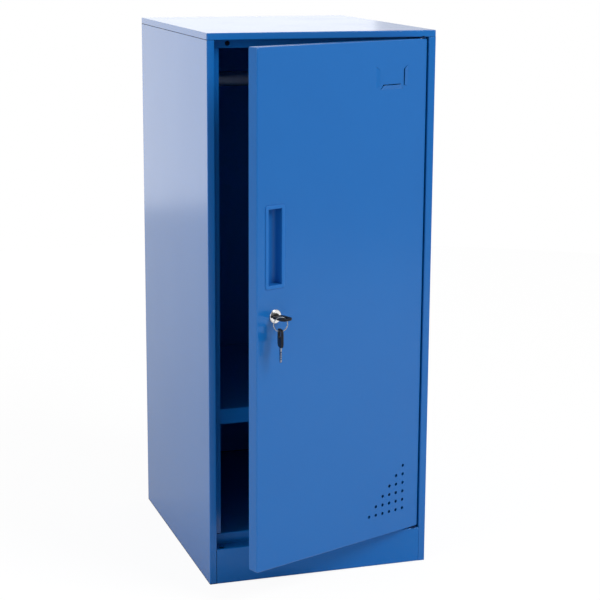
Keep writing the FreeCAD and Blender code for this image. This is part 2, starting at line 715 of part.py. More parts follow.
def door_panel():
    """Box-folded door, open at the back inside a narrow hem."""
    body = new_body("door_panel")
    sketch = sketch_on(body, "XZ", DOOR_FRONT)
    corners = [(DOOR_FREE, DOOR_LOW), (DOOR_EDGE, DOOR_LOW), (DOOR_EDGE, DOOR_HIGH), (DOOR_FREE, DOOR_HIGH)]
    polygon(sketch, corners)
    pad(body, sketch, "door_thick")
    fillet(body, "door_corner", along("Y", *corners))
    fillet(body, "door_round", in_plane("Y", DOOR_FRONT))
    shell(body, ("Y", DOOR_BACK), "gauge")
    lips(body, "XZ", DOOR_BACK + " - gauge",
         (DOOR_FREE + " + gauge", DOOR_EDGE + " - gauge", DOOR_LOW + " + gauge", DOOR_HIGH + " - gauge"),
         (DOOR_FREE + " + door_hem", DOOR_EDGE + " - door_hem", DOOR_LOW + " + door_hem",
          DOOR_HIGH + " - door_hem"), "door_corner")
    sketch = sketch_on(body, "XZ", DOOR_FRONT)
    across = "(handle_width/2 + handle_wall + handle_gap)"
    up = "(handle_length/2 + handle_wall + handle_gap)"
    framed(sketch, (LATCH_LINE, HANDLE_Z), across, up)
    circle(sketch, LOCK_PLACE, "lock_diameter + 2*lock_gap")
    cut(body, sketch, "gauge")
    vents(body)
    for low in (DOOR_LOW, DOOR_HIGH + " - gauge"):
        cut_circles(body, "XY", [("0", "0")], low, "gauge", PIN_HOLE)
    card_holder(body)
    return body


def door_stiffener():
    """Upright hat channel on the inside of the door's sheet."""
    left = "(-stiffener_offset - stiffener_width/2)"
    right = "(-stiffener_offset + stiffener_width/2)"
    back = DOOR_INSIDE + " + stiffener_depth"
    length = "%s - %s - 2*stiffener_margin" % (DOOR_HIGH, DOOR_LOW)
    return folded("door_stiffener", "XY", DOOR_LOW + " + stiffener_margin", length, [
        (left + " - stiffener_foot", DOOR_INSIDE),
        (left, DOOR_INSIDE),
        (left, back),
        (right, back),
        (right, DOOR_INSIDE),
        (right + " + stiffener_foot", DOOR_INSIDE),
    ])


def pivot_bracket():
    """Angle in the door's lower corner, against its hem, that the pivot pin stands in."""
    end = "(%s - door_corner)" % DOOR_EDGE
    base = DOOR_LOW + " + gauge"
    hem = DOOR_BACK + " - gauge"
    body = folded("bottom_pivot_bracket", "YZ", end + " - bracket_length", "bracket_length", [
        (DOOR_FRONT + " + door_round", base),
        (hem, base),
        (hem, base + " + bracket_rise"),
    ], "bracket_gauge")
    cut_circles(body, "XY", [("0", "0")], base, "bracket_gauge", PIN_HOLE)
    return body


def pivot_pin():
    body = new_body("bottom_pivot_pin")
    seat = DOOR_LOW + " + gauge + bracket_gauge"
    pad_circle(body, "XY", ("0", "0"), DOOR_LOW + " - pin_reach", "pin_reach + gauge + bracket_gauge",
               "pin_diameter")
    fillet(body, "pin_diameter/6", in_plane("Z", DOOR_LOW + " - pin_reach"))
    pad_circle(body, "XY", ("0", "0"), seat, "pin_head_height", "pin_head")
    return body


def handle_cup():
    """Drawn finger cup with a raised soft-edged rim, deepest towards the free edge."""
    body = new_body("handle_cup")
    half = "(handle_width/2 + handle_wall)"
    left = "%s - %s" % (LATCH_LINE, half)
    right = "%s + %s" % (LATCH_LINE, half)
    back = DOOR_FRONT + " + handle_depth + handle_wall"
    sketch = sketch_on(body, "XZ", DOOR_FRONT)
    framed(sketch, (LATCH_LINE, HANDLE_Z), half, "(handle_length/2 + handle_wall)")
    pad(body, sketch, "handle_depth + handle_wall")
    fillet(body, "handle_round_edge + handle_wall", along("Z", (left, back)))
    fillet(body, "handle_round_hinge + handle_wall", along("Z", (right, back)))
    shell(body, ("Y", DOOR_FRONT), "handle_wall")
    sketch = sketch_on(body, "XZ", DOOR_FRONT + " - handle_proud")
    corners = framed(sketch, (LATCH_LINE, HANDLE_Z), "(handle_width/2 + handle_rim)",
                     "(handle_length/2 + handle_rim)")
    framed(sketch, (LATCH_LINE, HANDLE_Z), "handle_width/2", "handle_length/2")
    pad(body, sketch, "handle_proud")
    fillet(body, "handle_round_ends", along("Y", *corners))
    fillet(body, "handle_soft_edge", in_plane("Y", DOOR_FRONT + " - handle_proud"))
    return body


def lock_barrel():
    body = new_body("lock_barrel")
    pad_circle(body, "XZ", LOCK_PLACE, DOOR_FRONT + " - bezel_height", "bezel_height", "bezel_diameter")
    fillet(body, "bezel_round", in_plane("Y", DOOR_FRONT + " - bezel_height"))
    pad_circle(body, "XZ", LOCK_PLACE, DOOR_FRONT, "lock_length", "lock_diameter")
    cut_circles(body, "XZ", [LOCK_PLACE], DOOR_FRONT + " - bezel_height", "bezel_height + lock_length",
                "plug_diameter + 2*plug_clearance")
    return body


def lock_plug():
    """Turning core with the keyway in front and a square tang for the cam behind."""
    body = new_body("lock_plug")
    front = DOOR_FRONT + " - bezel_height - plug_proud"
    pad_circle(body, "XZ", LOCK_PLACE, front, "plug_proud + bezel_height + lock_length", "plug_diameter")
    sketch = sketch_on(body, "XZ", LOCK_BACK)
    framed(sketch, LOCK_PLACE, "plug_tang/2", "plug_tang/2")
    pad(body, sketch, "cam_gauge")
    cut_circles(body, "XZ", [LOCK_PLACE], LOCK_BACK + " + cam_gauge + washer_height - cam_screw_length",
                "cam_screw_length", "cam_screw + 2*plug_clearance")
    sketch = sketch_on(body, "XZ", front)
    framed(sketch, LOCK_PLACE, "(blade_width/2 + keyway_gap)", "(blade_gauge/2 + keyway_gap)")
    cut(body, sketch, "plug_proud + blade_length - key_gap + keyway_gap")
    return body


def lock_cam():
    """Flat cam, upright while the lock is open."""
    body = new_body("lock_cam")
    sketch = sketch_on(body, "XZ", LOCK_BACK)
    left = LATCH_LINE + " - cam_width/2"
    right = LATCH_LINE + " + cam_width/2"
    low = "lock_height - cam_width/2"
    high = "lock_height + cam_length"
    rectangle(sketch, left, right, low, high)
    tang = "(plug_tang/2 + tang_gap)"
    framed(sketch, LOCK_PLACE, tang, tang)
    pad(body, sketch, "cam_gauge")
    fillet(body, "cam_round", along("Y", (left, low), (right, low), (left, high), (right, high)))
    return body


def cam_washer():
    body = new_body("cam_washer")
    sketch = sketch_on(body, "XZ", LOCK_BACK + " + cam_gauge")
    circle(sketch, LOCK_PLACE, "washer_diameter")
    circle(sketch, LOCK_PLACE, "cam_screw + 2*plug_clearance")
    pad(body, sketch, "washer_height")
    return body


def cam_screw():
    body = new_body("cam_screw")
    seat = LOCK_BACK + " + cam_gauge + washer_height"
    pad_circle(body, "XZ", LOCK_PLACE, seat + " - cam_screw_length", "cam_screw_length", "cam_screw")
    pad_circle(body, "XZ", LOCK_PLACE, seat, "cam_screw_head_height", "cam_screw_head")
    fillet(body, "cam_screw_head_height/2", in_plane("Y", seat + " + cam_screw_head_height"))
    return body


# Keys, each in its own frame: the blade points along Y and the bow ends at the origin


def key_blade(label):
    """Cut blade with a pointed tip, rooted in the bow."""
    body = new_body(label)
    half = "blade_width/2"
    sketch = sketch_on(body, "XY", "-blade_gauge/2")
    polygon(sketch, [
        ("-" + half, "-blade_root"), (half, "-blade_root"), (half, "blade_length - blade_tip"),
        (half + " - blade_tip", "blade_length"), ("-%s + blade_tip" % half, "blade_length"),
        ("-" + half, "blade_length - blade_tip")])
    pad(body, sketch, "blade_gauge")
    sketch = sketch_on(body, "XY", "-blade_gauge/2")
    for k in range(BLADE_CUTS):
        start = "(blade_cut_first + %d*blade_cut_pitch)" % k
        polygon(sketch, [(half, start), (half, start + " + 2*blade_cut"),
                         (half + " - blade_cut", start + " + blade_cut")])
    cut(body, sketch, "blade_gauge")
    return body


def key_bow(label):
    """Moulded bow with rounded corners, a hole for the ring and a seat for the blade."""
    body = new_body(label)
    half = "bow_width/2"
    outline = [("-" + half, "-bow_length"), (half, "-bow_length"), (half, "0"), ("-" + half, "0")]
    sketch = sketch_on(body, "XY", "-bow_gauge/2")
    polygon(sketch, outline)
    pad(body, sketch, "bow_gauge")
    fillet(body, "bow_round", along("Z", *outline))
    hole = "bow_hole_width/2"
    far = "bow_rim - bow_length"
    near = "bow_rim + bow_hole_length - bow_length"
    sketch = sketch_on(body, "XY", "-bow_gauge/2")
    rectangle(sketch, "-" + hole, hole, far, near)
    cut(body, sketch, "bow_gauge")
    corners = [(across, place) for across in ("-" + hole, hole) for place in (far, near)]
    fillet(body, "bow_hole_round", along("Z", *corners))
    fillet(body, "bow_soft_edge", in_plane("Z", "-bow_gauge/2"), in_plane("Z", "bow_gauge/2"))
    sketch = sketch_on(body, "XY", "-blade_gauge/2")
    rectangle(sketch, "-blade_width/2", "blade_width/2", "-blade_root", "0")
    cut(body, sketch, "blade_gauge")
    return body


def door_point(along_door, into_door):
    """Formulas for a point of the door's frame, seen from the carcass."""
    return ("%s + cos(ajar)*(%s) - sin(ajar)*(%s)" % (PIVOT_X, along_door, into_door),
            "pivot_setback + sin(ajar)*(%s) + cos(ajar)*(%s)" % (along_door, into_door))


def place_item(item, rotation, place):
    item.Placement = Placement(Vector(0, 0, 0), rotation)
    for axis, text in zip("xyz", place):
        bind(item, "Placement.Base." + axis, text)
    return item


def keys_and_ring():
    """Key in the lock, level with its bow outwards; the ring and the spare key hang from it."""
    in_lock = [key_blade("key_blade"), key_bow("key_bow")]
    root = door_point(LATCH_LINE, KEY_ROOT)
    for item in in_lock:
        place_item(item, Rotation(Vector(0, 0, 1), number("ajar")), root + ("lock_height",))
        bind(item, "Placement.Rotation.Angle", "ajar")
    ring = doc.addObject("Part::Torus", "key_ring")
    bind(ring, "Radius1", "ring_radius")
    bind(ring, "Radius2", "ring_wire/2")
    middle = door_point("%s - %s" % (LATCH_LINE, RING_ASIDE), "%s + %s" % (KEY_ROOT, RING_ALONG))
    ring_z = "lock_height - " + RING_DROP
    place_item(ring, Rotation(Vector(1, 0, 0), 90), middle + (ring_z,))
    spare = [key_blade("spare_key_blade"), key_bow("spare_key_bow")]
    hanging = Rotation(Vector(0, -1, 0), Vector(0, 0, -1), Vector(1, 0, 0), "XYZ")
    spare_z = ring_z + " - ring_radius + ring_wire/2 + ring_gap + bow_rim - bow_length"
    for item in spare:
        place_item(item, hanging, middle + (spare_z,))
    doc.recompute()
    return in_lock + [ring] + spare


def locker():
    left = left_side_panel()
    strips = [shelf_strip("shelf_strip_front_left", "strip_front"),
              shelf_strip("shelf_strip_rear_left", STRIP_REAR)]
    clips = [shelf_clip("shelf_clip", place) for place in ("strip_front", STRIP_REAR)]
    socket = rail_socket()
    carcass = [
        left, mirrored("right_side_panel", left, "X"), top_panel(), floor_panel(), plinth_panel(),
        back_panel(), *strips, mirrored("shelf_strip_front_right", strips[0], "X"),
        mirrored("shelf_strip_rear_right", strips[1], "X"),
        group("shelf_clips", clips + [mirrored("shelf_clip_right", clip, "X") for clip in clips]),
        hanging_rail(), socket, mirrored("rail_socket_right", socket, "X"), door_buffers(),
        hinge_bush("hinge_bush_bottom", "plinth_height", "plinth_height - bush_depth"),
        hinge_bush("hinge_bush_top", SIDE_TOP + " - bush_flange_height", SIDE_TOP),
        *carcass_bolts(),
    ]
    bracket = pivot_bracket()
    pin = pivot_pin()
    door = [door_panel(), door_stiffener(), bracket, pin, handle_cup(), lock_barrel(),
            hex_nut("lock_nut", "XZ", LOCK_PLACE, DOOR_INSIDE, "lock_nut_height", "lock_nut_across",
                    "lock_diameter + 2*lock_gap"),
            lock_plug(), lock_cam(), cam_washer(), cam_screw()]
    for item in door:
        hang_on_door(item)
    door_middle = "(%s + %s)/2" % (DOOR_LOW, DOOR_HIGH)
    door.append(mirrored("top_pivot_bracket", bracket, "Z", door_middle))
    door.append(mirrored("top_pivot_pin", pin, "Z", door_middle))
    return carcass + [shelf()] + door + keys_and_ring()


pieces = locker()
doc.recompute()
for item in doc.Objects:
    if {"Invalid", "Error"} & set(item.State):
        raise RuntimeError("%s failed: %s" % (item.Label, item.State))
for piece in pieces:
    if piece.Shape.isNull() or not piece.Shape.isValid():
        raise RuntimeError(piece.Label + " has no valid shape")
os.makedirs("parts", exist_ok=True)
for piece in pieces:
    piece.Shape.exportStep("parts/%s.step" % piece.Label)
    print(piece.Label, len(piece.Shape.Solids), round(piece.Shape.Volume, 1))
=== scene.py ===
import json
import math

import bmesh
import bpy
from mathutils import Matrix, Vector


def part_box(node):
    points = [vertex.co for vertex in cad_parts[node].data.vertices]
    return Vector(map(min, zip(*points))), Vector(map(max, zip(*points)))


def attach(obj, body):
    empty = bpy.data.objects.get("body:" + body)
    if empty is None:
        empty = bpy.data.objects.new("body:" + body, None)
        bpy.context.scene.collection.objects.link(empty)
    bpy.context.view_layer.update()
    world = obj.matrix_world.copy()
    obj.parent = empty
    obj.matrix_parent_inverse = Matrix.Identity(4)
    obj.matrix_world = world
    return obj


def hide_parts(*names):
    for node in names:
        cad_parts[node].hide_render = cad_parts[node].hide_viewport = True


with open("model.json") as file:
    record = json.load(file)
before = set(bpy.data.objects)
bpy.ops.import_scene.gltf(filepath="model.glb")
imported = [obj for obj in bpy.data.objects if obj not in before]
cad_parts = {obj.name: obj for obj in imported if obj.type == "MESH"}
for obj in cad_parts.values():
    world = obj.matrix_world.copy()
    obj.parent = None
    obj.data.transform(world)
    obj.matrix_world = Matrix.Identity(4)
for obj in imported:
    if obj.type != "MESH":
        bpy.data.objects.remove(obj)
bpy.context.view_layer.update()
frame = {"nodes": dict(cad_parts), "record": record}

# Looks of a single-door steel locker, in metres: its powder coat, plated fittings, split key ring
# and bolt heads, with the camera, the floor and the studio light.

MM = 0.001
FULL_TURN = 2 * math.pi


def cad_footprint():
    """Corners of the floor that the carcass covers."""
    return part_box("left_side_panel")[0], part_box("right_side_panel")[1]


# Shader maths


class Wire:
    """One output of a node tree, so that shader maths reads as Python expressions."""

    def __init__(self, tree, socket=None):
        self.tree = tree
        self.socket = socket

    def node(self, kind, settings=None, inputs=None, output=0):
        """Adds a node: its settings first, then a value or a wire for each named input."""
        made = self.tree.nodes.new("ShaderNode" + kind)
        for name, value in (settings or {}).items():
            if name == "stops":
                set_stops(made.color_ramp, value)
            else:
                setattr(made, name, value)
        for name, value in (inputs or {}).items():
            self.plug(made.inputs[name], value)
        return Wire(self.tree, made.outputs[output])

    def plug(self, socket, value):
        if isinstance(value, Wire):
            self.tree.links.new(value.socket, socket)
        else:
            socket.default_value = value

    def math(self, operation, first, second):
        return self.node("Math", {"operation": operation}, {0: first, 1: second})

    def between(self, value, low, high):
        return self.math("GREATER_THAN", value, low) * self.math("LESS_THAN", value, high)

    def __add__(self, other):
        return self.math("ADD", self, other)

    def __radd__(self, other):
        return self.math("ADD", other, self)

    def __sub__(self, other):
        return self.math("SUBTRACT", self, other)

    def __rsub__(self, other):
        return self.math("SUBTRACT", other, self)

    def __mul__(self, other):
        return self.math("MULTIPLY", self, other)

    def __rmul__(self, other):
        return self.math("MULTIPLY", other, self)


def set_stops(ramp, stops):
    for element, (place, colour) in zip(ramp.elements, (stops[0], stops[-1])):
        element.position = place
        element.color = colour
    for place, colour in stops[1:-1]:
        ramp.elements.new(place).color = colour


def shade(hue, value=1.0):
    """A hue's colour, made lighter or darker by the value."""
    return (*(value * part for part in hue), 1)


def grey(value):
    return shade((1, 1, 1), value)


def mix_colour(factor, first, second):
    return factor.node("Mix", {"data_type": "RGBA"}, {"Factor": factor, 6: first, 7: second}, 2)


class Finish:
    """A new material with its Principled shader and the piece's own coordinates."""

    SOCKETS = {"base_color": "Base Color", "metallic": "Metallic", "roughness": "Roughness",
               "normal": "Normal", "ior": "IOR", "shine": "Specular IOR Level"}

    def __init__(self, name):
        self.material = bpy.data.materials.new(name)
        self.material.use_nodes = True
        tree = self.material.node_tree
        self.shader = tree.nodes["Principled BSDF"]
        self.start = Wire(tree)
        self.place = self.start.node("TexCoord", output="Object")

    def noise(self, size, detail, stretch=(1, 1, 1)):
        """Noise with marks of about the given size in metres, stretched along the axes."""
        scale = tuple(1 / (size * along) for along in stretch)
        spot = self.start.node("Mapping", {}, {"Vector": self.place, "Scale": scale})
        return self.start.node("TexNoise", {}, {"Vector": spot, "Scale": 1.0, "Detail": detail})

    def ramp(self, value, *stops):
        return self.start.node("ValToRGB", {"stops": stops}, {"Fac": value})

    def bump(self, height, depth=1.0):
        """Relief of a height in metres, or of a height from 0 to 1 with its depth in metres."""
        return self.start.node("Bump", {}, {"Height": height, "Strength": 1.0, "Distance": depth})

    def set(self, **values):
        for name, value in values.items():
            self.start.plug(self.shader.inputs[self.SOCKETS[name]], value)
        return self.material

    def cover(self, share, layer):
        """Lays a second shader over the first, by a share that varies over the surface."""
        under = Wire(self.start.tree, self.shader.outputs[0])
        surface = self.start.node("MixShader", {}, {"Fac": share, 1: under, 2: layer})
        self.start.plug(self.start.tree.nodes["Material Output"].inputs["Surface"], surface)
        return self.material


# Powder coat

PAINT_BLUE = (0.0065, 0.131, 0.432)
PAINT_DEEP = (0.0055, 0.121, 0.412)
PAINT_IOR = 1.42
CLOUD_SIZE = 120 * MM
CLOUD_DULLING = 0.04
GRAIN_SIZE = 0.5 * MM
GRAIN_DULLING = 0.02
PEEL_SIZE = 2.2 * MM
PEEL_DEPTH = 0.006 * MM
WAVE_SIZE = 150 * MM
WAVE_STRETCH = (1, 1, 5)
WAVE_DEPTH = 0.15 * MM
# Painted shade: a dark matt blue-black laid by ambient occlusion into the narrow seams and along the cap's
# seam, standing in for the shadow in the gaps between panels.
SEAM_SHADE_COLOUR = (0.004, 0.012, 0.030)
SEAM_REACH = 1.6 * MM
SEAM_FILL = 8.0
SEAM_RAYS = 6
CAP_SEAM_HALF = 0.45 * MM
CAP_SEAM_DEPTH = 1.0 * MM


def powder_paint(name, rough=0.16, shine=0.5, lift=1.0):
    """Powder coat: fine orange peel over the sheet's slow waves, with faint clouds in colour and gloss."""
    paint = Finish(name)
    waves = paint.noise(WAVE_SIZE, detail=1, stretch=WAVE_STRETCH)
    clouds = paint.noise(CLOUD_SIZE, detail=3)
    peel = paint.noise(PEEL_SIZE, detail=1.5)
    grains = paint.noise(GRAIN_SIZE, detail=1)
    paint.set(base_color=mix_colour(clouds, shade(PAINT_BLUE, lift), shade(PAINT_DEEP, lift)),
              roughness=rough + CLOUD_DULLING * clouds + GRAIN_DULLING * grains,
              normal=paint.bump(PEEL_DEPTH * peel + WAVE_DEPTH * waves),
              ior=PAINT_IOR, shine=shine)
    return paint


def cap_seam(paint):
    """1 along the seam where the cap meets the outer face of a side wall, 0 elsewhere; it marks a painted
    shadow line.
    """
    across = paint.start.node("SeparateXYZ", {}, {0: paint.place}, "X")
    up = paint.start.node("SeparateXYZ", {}, {0: paint.place}, "Z")
    left, right = (corner[0] for corner in cad_footprint())
    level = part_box("left_side_panel")[1][2]
    inside = paint.start.between(across, left + CAP_SEAM_DEPTH, right - CAP_SEAM_DEPTH)
    return paint.start.between(up, level - CAP_SEAM_HALF, level + CAP_SEAM_HALF) * (1 - inside)


def seam_shaded_paint(name, shine=0.5):
    """The same coat on the carcass, with painted shade in the narrow seams between its panels and a painted
    shadow line along the cap's seam.
    """
    paint = powder_paint(name, shine=shine)
    rays = {"samples": SEAM_RAYS}
    # Painted shade: where ambient occlusion finds a close neighbour, and along the cap's seam, a dark matt
    # layer covers the coat.
    closed = 1 - paint.start.node("AmbientOcclusion", rays, {"Distance": SEAM_REACH}, "AO")
    shade_layer = paint.start.node("BsdfDiffuse", {}, {"Color": shade(SEAM_SHADE_COLOUR)})
    shade_share = SEAM_FILL * closed + cap_seam(paint)
    return paint.cover(paint.start.math("MINIMUM", shade_share, 1), shade_layer)


# Plating

ZINC_DARK = (0.50, 0.52, 0.54)
ZINC_LIGHT = (0.66, 0.67, 0.68)
CRYSTALS_PER_METRE = 260.0
CRYSTAL_RAMP = ((0.2, shade(ZINC_DARK)), (0.8, shade(ZINC_LIGHT)))
ZINC_ROUGH = 0.28
SCRATCH_SIZE = 1.0 * MM
SCRATCH_STRETCH = (1, 1, 8)
SCRATCH_DULLING = 0.16
SCRATCH_DEPTH = 0.01 * MM
SPOT_SIZE = 6 * MM
SPOT_SHADE = 0.88
SPOT_DULLING = 0.06
POLISH_SIZE = 0.4 * MM
POLISH_STRETCH = (1, 1, 12)
POLISH_DEPTH = 0.004 * MM


def zinc():
    """Bright zinc plating with a faint crystal pattern."""
    plate = Finish("zinc_plating")
    cells = {"Vector": plate.place, "Scale": CRYSTALS_PER_METRE}
    crystals = plate.start.node("TexVoronoi", {}, cells, "Color")
    scratches = plate.noise(SCRATCH_SIZE, detail=2, stretch=SCRATCH_STRETCH)
    return plate.set(base_color=plate.ramp(crystals, *CRYSTAL_RAMP), metallic=1.0,
                     roughness=ZINC_ROUGH + SCRATCH_DULLING * scratches,
                     normal=plate.bump(scratches, SCRATCH_DEPTH))


def plated(name, tint, rough):
    """Plated steel, polished along its length, with a few dull spots."""
    plate = Finish(name)
    spots = plate.noise(SPOT_SIZE, detail=3)
    lines = plate.noise(POLISH_SIZE, detail=2, stretch=POLISH_STRETCH)
    return plate.set(base_color=mix_colour(spots, shade(tint), shade(tint, SPOT_SHADE)), metallic=1.0,
                     roughness=rough + SPOT_DULLING * spots, normal=plate.bump(lines, POLISH_DEPTH))


# Plastic and rubber

BLUE_BLACK = (0.8, 1.0, 1.8)
NAVY = (0.1, 1.0, 4.0)
MOULD_GRAIN_SIZE = 0.35 * MM
MOULD_GRAIN_DEPTH = 0.02 * MM
SCUFF_SIZE = 7 * MM
SCUFF_DULLING = 0.16
RUBBER_ROUGH = 0.62
RUBBER_SHINE = 0.1
BLOOM_SIZE = 1.5 * MM
BLOOM_DEPTH = 0.02 * MM
BLOOM_DULLING = 0.2


def plastic(name, dark, light, rough, shine):
    """Moulded plastic: fine spark-eroded grain, paler and duller where it is scuffed."""
    moulding = Finish(name)
    grain = moulding.noise(MOULD_GRAIN_SIZE, detail=2)
    scuffs = moulding.noise(SCUFF_SIZE, detail=2)
    return moulding.set(base_color=mix_colour(scuffs, dark, light), shine=shine,
                        roughness=rough + SCUFF_DULLING * scuffs,
                        normal=moulding.bump(grain, MOULD_GRAIN_DEPTH))


def dark_rubber(name, dark, light):
    """Dark rubber with a faint dull bloom."""
    rubber = Finish(name)
    bloom = rubber.noise(BLOOM_SIZE, detail=3)
    return rubber.set(base_color=mix_colour(bloom, dark, light), shine=RUBBER_SHINE,
                      roughness=RUBBER_ROUGH + BLOOM_DULLING * bloom,
                      normal=rubber.bump(bloom, BLOOM_DEPTH))


# Finishes of the record's slots

FINISHES = {
    "blue_paint": powder_paint("blue_powder_paint").material,
    "zinc_plate": zinc(),
    "rail_chrome": plated("satin_rail_plating", tint=(0.46, 0.48, 0.50), rough=0.42),
    "lock_chrome": plated("lock_chrome", tint=(0.80, 0.80, 0.80), rough=0.07),
    "lock_core": plated("lock_core_nickel", tint=(0.20, 0.19, 0.17), rough=0.24),
    "key_steel": plated("key_steel", tint=(0.36, 0.38, 0.40), rough=0.20),
    "key_plastic": plastic("black_bow_plastic", dark=shade(BLUE_BLACK, 0.004),
                           light=shade(BLUE_BLACK, 0.009), rough=0.34, shine=0.25),
    "buffer_rubber": dark_rubber("buffer_rubber", dark=shade(NAVY, 0.002), light=shade(NAVY, 0.006)),
    "bush_nylon": plastic("navy_bush_nylon", dark=shade(NAVY, 0.014),
                          light=shade(NAVY, 0.024), rough=0.46, shine=0.1),
}


def dress(piece, finish):
    piece.data.materials.clear()
    piece.data.materials.append(finish)


def dress_nodes():
    """Gives each node the finish of its slot in the record; most of the painted carcass gets painted shade
    in its seams.
    """
    carcass = frame["record"]["behaviour"]["bodies"]["carcass"]
    carcass_paint = seam_shaded_paint("blue_carcass_paint")
    own_paints = {
        # The handle cup's coat is painted 6 percent lighter: painted light that lifts the shade in its
        # recess.
        "handle_cup": powder_paint("satin_handle_paint", rough=0.42, shine=0.42, lift=1.06).material,
        "floor_panel": seam_shaded_paint("dull_floor_paint", shine=0.15),
        "plinth_panel": powder_paint("plinth_paint", shine=0.35).material,
        "right_side_panel": FINISHES["blue_paint"],
    }
    for part in frame["record"]["subparts"]:
        node, slot = part["node"], part["material_slot"]
        # Carcass parts in blue paint get the coat with painted shade in their seams.
        gets_seam_shade = slot == "blue_paint" and node in carcass
        usual = carcass_paint if gets_seam_shade else FINISHES[slot]
        dress(frame["nodes"][node], own_paints.get(node, usual))


# Pieces that stand for plainer solids


def new_piece(name, shape, finish):
    mesh = bpy.data.meshes.new(name)
    bmesh.ops.recalc_face_normals(shape, faces=shape.faces)
    shape.to_mesh(mesh)
    shape.free()
    piece = bpy.data.objects.new(name, mesh)
    bpy.context.scene.collection.objects.link(piece)
    dress(piece, finish)
    return piece


def join_rings(rows):
    """A closed shape through rows of points, each row a loop, with flat ends."""
    shape = bmesh.new()
    loops = [[shape.verts.new(point) for point in row] for row in rows]
    for near, far in zip(loops, loops[1:]):
        for k in range(len(near)):
            following = (k + 1) % len(near)
            shape.faces.new((near[k], near[following], far[following], far[k]))
    shape.faces.new(loops[0])
    shape.faces.new(loops[-1])
    return shape


# Split key ring

RING_WIRE = 0.8 * MM
RING_STEP = math.radians(40)
RING_LIFT = 0.38 * MM
RING_SIDES = 204
RING_WIDE = 0.65 * MM
RING_FLAT = 0.45 * MM
RING_THICK = 0.36 * MM
RING_EDGE = 0.2 * MM
RING_SECTION = (
    (-RING_FLAT, -RING_THICK), (RING_FLAT, -RING_THICK),
    (RING_WIDE, -RING_EDGE), (RING_WIDE, RING_EDGE),
    (RING_FLAT, RING_THICK), (-RING_FLAT, RING_THICK),
    (-RING_WIDE, RING_EDGE), (-RING_WIDE, -RING_EDGE),
)


def ease(share):
    """From 0 to 1 with a smooth start and end."""
    share = min(max(share, 0), 1)
    return share * share * (3 - 2 * share)


def split_ring():
    """Two turns of flat wire side by side, with the step where the outer turn begins."""
    low, high = (Vector(corner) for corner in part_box("key_ring"))
    middle = (low + high) / 2
    radius = (high.z - low.z) / 2 - RING_WIRE
    length = 2 * FULL_TURN - RING_STEP
    rows = []
    for k in range(RING_SIDES + 1):
        turned = length * k / RING_SIDES
        climbed = ease((turned - FULL_TURN + RING_STEP) / RING_STEP)
        shift = RING_LIFT * (2 * climbed - 1)
        out = Vector((math.sin(turned), 0, math.cos(turned)))
        rows.append([middle + (radius + across) * out + Vector((0, shift + aside, 0))
                     for across, aside in RING_SECTION])
    piece = new_piece("split_ring", join_rings(rows), FINISHES["key_steel"])
    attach(piece, "key_ring")
    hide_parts("key_ring")


# Pan-head bolts

BOLT_SIDES = 48
BOLT_REACH = 14 * MM
BOLT_SPIN = 0.7
HEAD_HEIGHT = 3.0 * MM
HEAD_PROFILE = ((0.45, 0.0), (0.72, 0.14), (0.90, 0.36), (0.98, 0.62), (1.0, 1.0))
THREAD_PITCH = 0.8 * MM
THREAD_CREST = 2.5 * MM
THREAD_ROOT = 2.08 * MM
THREAD_FORM = ((THREAD_CREST, 0.0), (THREAD_CREST, 0.15), (THREAD_ROOT, 0.55), (THREAD_ROOT, 0.65))
RECESS_REACH = 2.4 * MM
RECESS_WIDTH = 0.55 * MM
RECESS_DEPTH = 1.7 * MM
RECESS_CLEAR = 0.5 * MM
RECESS_TAPER = 0.35


def spots_of(node, reach):
    """Boxes of the separate solids in one node, each narrower than the reach."""
    spots = []
    for vertex in frame["nodes"][node].data.vertices:
        near = next((spot for spot in spots if (spot[0] - vertex.co).length < reach), None)
        if near:
            near.append(vertex.co.copy())
        else:
            spots.append([vertex.co.copy()])
    return [(Vector(map(min, *spot)), Vector(map(max, *spot))) for spot in spots]


def bolt_shape(radius, length):
    """A pan-head bolt along Z, its head's top at zero, with rings of thread below the head."""
    profile = [(radius * out, -HEAD_HEIGHT * down) for out, down in HEAD_PROFILE]
    level = -HEAD_HEIGHT
    while level - THREAD_PITCH > -length:
        profile += [(out, level - down * THREAD_PITCH) for out, down in THREAD_FORM]
        level -= THREAD_PITCH
    profile += [(THREAD_CREST, level), (THREAD_ROOT, -length)]
    turns = [FULL_TURN * k / BOLT_SIDES for k in range(BOLT_SIDES)]
    rows = [[(out * math.cos(turn), out * math.sin(turn), up) for turn in turns] for out, up in profile]
    return join_rings(rows)


def recess_shape(along_x):
    """One wing of the cross recess, narrower at its bottom."""
    rows = []
    for up, share in ((RECESS_CLEAR, 1.0), (-RECESS_DEPTH, RECESS_TAPER)):
        reach = share * RECESS_REACH
        width = (1 + share) / 2 * RECESS_WIDTH
        corners = [(-reach, -width), (reach, -width), (reach, width), (-reach, width)]
        rows.append([(a, b, up) if along_x else (-b, a, up) for a, b in corners])
    return join_rings(rows)


def recessed_bolt(radius, length):
    """The bolt's mesh with its cross recess cut in."""
    plating = FINISHES["zinc_plate"]
    bolt = new_piece("bolt_blank", bolt_shape(radius, length), plating)
    wings = [new_piece("recess_wing", recess_shape(along_x), plating) for along_x in (True, False)]
    for wing in wings:
        cut = bolt.modifiers.new("recess", "BOOLEAN")
        cut.operation = "DIFFERENCE"
        cut.solver = "EXACT"
        cut.object = wing
    mesh = bpy.data.meshes.new_from_object(bolt.evaluated_get(bpy.context.evaluated_depsgraph_get()))
    for spare in (bolt, *wings):
        bpy.data.objects.remove(spare)
    return mesh


